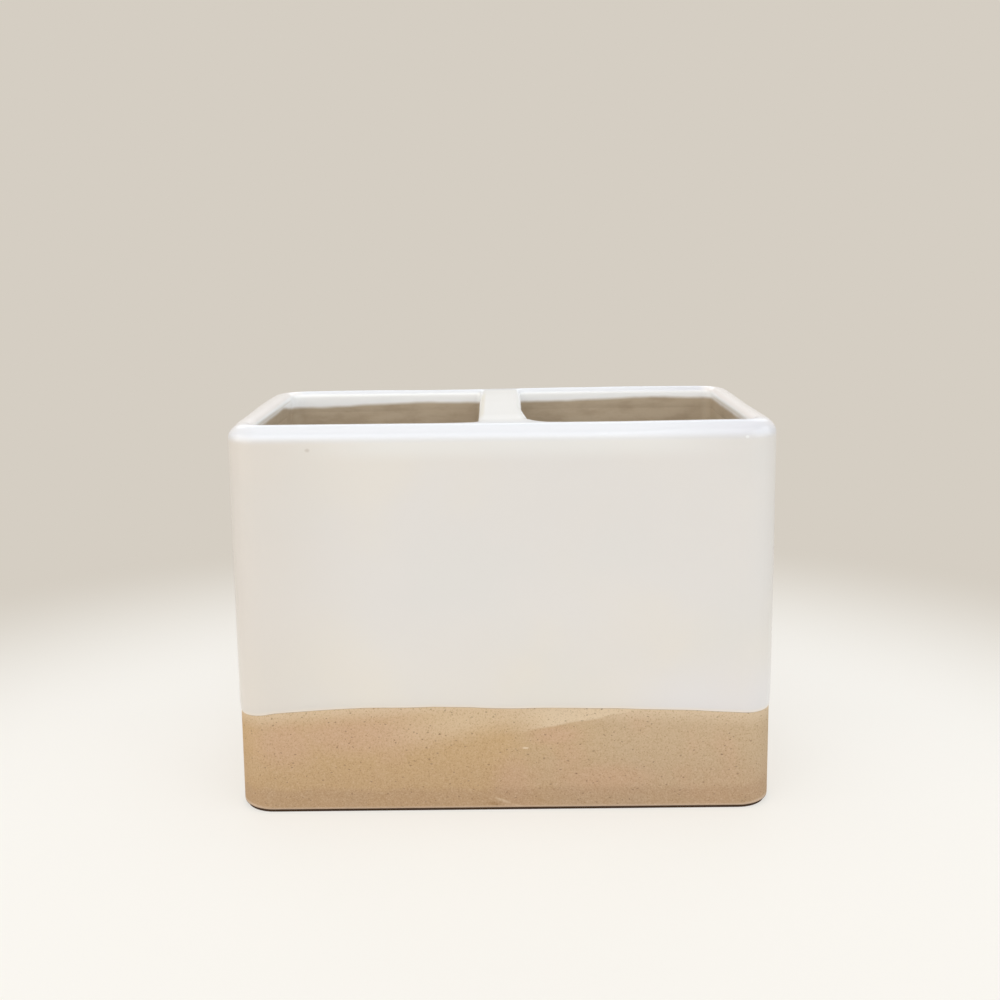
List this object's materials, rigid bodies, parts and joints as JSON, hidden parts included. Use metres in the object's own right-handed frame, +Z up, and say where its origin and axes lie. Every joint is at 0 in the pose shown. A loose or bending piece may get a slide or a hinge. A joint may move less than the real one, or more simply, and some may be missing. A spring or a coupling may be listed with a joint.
{
  "type": "toothbrush holder",
  "caption": "Rectangular stoneware toothbrush holder: a divider parts two open wells, and a white dipped glaze ends above a bare clay band.",
  "frame": {"origin": "on the counter, under the middle of the holder's box", "axes": "+X along the width, to the right as seen from the front; the front faces -Y; +Z up"},
  "size_m": [0.14, 0.0768, 0.102],
  "materials": {
    "bare_clay": "matt unglazed speckled buff stoneware",
    "white_glaze": "smooth warm white gloss glaze, dipped",
    "liner_glaze": "thin beige satin liner glaze over buff clay"
  },
  "bodies": {
    "root": {"stoneware_shell": "bare_clay", "base_slab": "bare_clay", "divider": "bare_clay", "dip_glaze": "white_glaze", "left_well_liner": "liner_glaze", "right_well_liner": "liner_glaze"}
  },
  "joints": []
}
